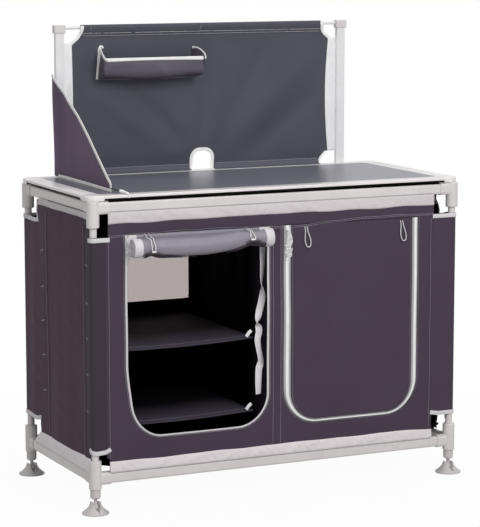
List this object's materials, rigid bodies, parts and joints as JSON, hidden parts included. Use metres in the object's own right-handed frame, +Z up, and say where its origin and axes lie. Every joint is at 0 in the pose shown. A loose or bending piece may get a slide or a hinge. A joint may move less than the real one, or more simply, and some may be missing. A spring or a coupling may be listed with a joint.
{
  "type": "fabric camp kitchen cupboard",
  "caption": "Free-standing fabric cupboard on a tube frame with a rimmed worktop, adjustable ball feet, shelves behind roll-up doors and a fabric windscreen with a side wing.",
  "frame": {"origin": "on the floor, below the middle of the outline, which is 16.8 mm in front of the point midway between the four legs", "axes": "+X along the worktop to the right as seen from the front, +Y to the rear where the windscreen stands, +Z up"},
  "size_m": [1.0902, 0.5628, 1.199],
  "materials": {
    "tube": "powder-coated satin",
    "plastic": "moulded, fine grain",
    "cloth": "coated polyester",
    "screen_cloth": "coated polyester",
    "grey_cloth": "satin inner side of the door cloth",
    "inner_cloth": "coated polyester",
    "white_cloth": "woven tape",
    "mesh": "fine net",
    "board": "satin laminate",
    "slider": "painted",
    "elastic": "woven over rubber"
  },
  "bodies": {
    "frame": {"leg_front_left": "tube", "leg_front_right": "tube", "leg_rear_left": "tube", "leg_rear_right": "tube", "upper_corner_front_left": "plastic", "upper_corner_front_right": "plastic", "upper_corner_rear_left": "plastic", "upper_corner_rear_right": "plastic", "lower_corner_front_left": "plastic", "lower_corner_front_right": "plastic", "lower_corner_rear_left": "plastic", "lower_corner_rear_right": "plastic", "upper_rail_front": "tube", "upper_rail_rear": "tube", "upper_rail_left": "tube", "upper_rail_right": "tube", "lower_rail_front": "tube", "lower_rail_rear": "tube", "lower_rail_left": "tube", "lower_rail_right": "tube", "front_panel": "cloth", "left_panel": "cloth", "right_panel": "cloth", "rear_panel": "cloth", "rear_window": "mesh", "left_zip_tape": "white_cloth", "right_zip_tape": "white_cloth", "floor_panel": "inner_cloth", "divider_panel": "inner_cloth", "left_shelf_lower": "inner_cloth", "left_shelf_upper": "inner_cloth", "right_shelf_lower": "inner_cloth", "right_shelf_upper": "inner_cloth", "rolled_door": "grey_cloth", "roll_tie_left": "white_cloth", "roll_tie_right": "white_cloth"},
    "adjuster_front_left": {"foot_stem_front_left": "plastic"},
    "adjuster_front_right": {"foot_stem_front_right": "plastic"},
    "adjuster_rear_left": {"foot_stem_rear_left": "plastic"},
    "adjuster_rear_right": {"foot_stem_rear_right": "plastic"},
    "pad_front_left": {"foot_pad_front_left": "plastic"},
    "pad_front_right": {"foot_pad_front_right": "plastic"},
    "pad_rear_left": {"foot_pad_rear_left": "plastic"},
    "pad_rear_right": {"foot_pad_rear_right": "plastic"},
    "right_door_flap": {"right_door": "cloth", "door_loop_left": "white_cloth", "door_loop_right": "white_cloth"},
    "left_slider": {"left_zip_slider": "slider"},
    "right_slider": {"right_zip_slider": "slider"},
    "worktop": {"worktop_rim": "plastic", "worktop_panel": "board"},
    "windscreen": {"post_left": "tube", "post_right": "tube", "post_cap_left": "plastic", "post_cap_right": "plastic", "top_bar": "tube", "screen_panel": "screen_cloth", "screen_pocket": "screen_cloth"},
    "wing": {"wing_panel": "cloth", "wing_elastic": "elastic"}
  },
  "joints": [
    {"name": "foot_height_front_left", "type": "slide", "parent": "frame", "child": "adjuster_front_left", "axis": [0, 0, -1], "range_m": [0, 0.02]},
    {"name": "foot_height_front_right", "type": "slide", "parent": "frame", "child": "adjuster_front_right", "axis": [0, 0, -1], "range_m": [0, 0.02]},
    {"name": "foot_height_rear_left", "type": "slide", "parent": "frame", "child": "adjuster_rear_left", "axis": [0, 0, -1], "range_m": [0, 0.02]},
    {"name": "foot_height_rear_right", "type": "slide", "parent": "frame", "child": "adjuster_rear_right", "axis": [0, 0, -1], "range_m": [0, 0.02]},
    {"name": "foot_tilt_front_left", "type": "hinge", "parent": "adjuster_front_left", "child": "pad_front_left", "pos_m": [-0.5108, -0.2139, 0.017], "axis": [1, 0, 0], "range_deg": [-12, 12]},
    {"name": "foot_tilt_front_right", "type": "hinge", "parent": "adjuster_front_right", "child": "pad_front_right", "pos_m": [0.5108, -0.2139, 0.017], "axis": [1, 0, 0], "range_deg": [-12, 12]},
    {"name": "foot_tilt_rear_left", "type": "hinge", "parent": "adjuster_rear_left", "child": "pad_rear_left", "pos_m": [-0.5108, 0.2475, 0.017], "axis": [1, 0, 0], "range_deg": [-12, 12]},
    {"name": "foot_tilt_rear_right", "type": "hinge", "parent": "adjuster_rear_right", "child": "pad_rear_right", "pos_m": [0.5108, 0.2475, 0.017], "axis": [1, 0, 0], "range_deg": [-12, 12]},
    {"name": "right_door_lift", "type": "hinge", "parent": "frame", "child": "right_door_flap", "pos_m": [0.2015, -0.2251, 0.6997], "axis": [-1, 0, 0], "range_deg": [0, 95]},
    {"name": "left_zip", "type": "slide", "parent": "frame", "child": "left_slider", "axis": [0, 0, -1], "range_m": [0, 0.38]},
    {"name": "right_zip", "type": "slide", "parent": "frame", "child": "right_slider", "axis": [0, 0, -1], "range_m": [0, 0.4]},
    {"name": "worktop_lift", "type": "slide", "parent": "frame", "child": "worktop", "axis": [0, 0, 1], "range_m": [0, 0.05]},
    {"name": "windscreen_lift", "type": "slide", "parent": "worktop", "child": "windscreen", "axis": [0, 0, 1], "range_m": [0, 0.05]},
    {"name": "wing_swing", "type": "hinge", "parent": "windscreen", "child": "wing", "pos_m": [-0.43185, 0.2402, 0.8003], "axis": [0, 0, 1], "range_deg": [0, 78]}
  ]
}
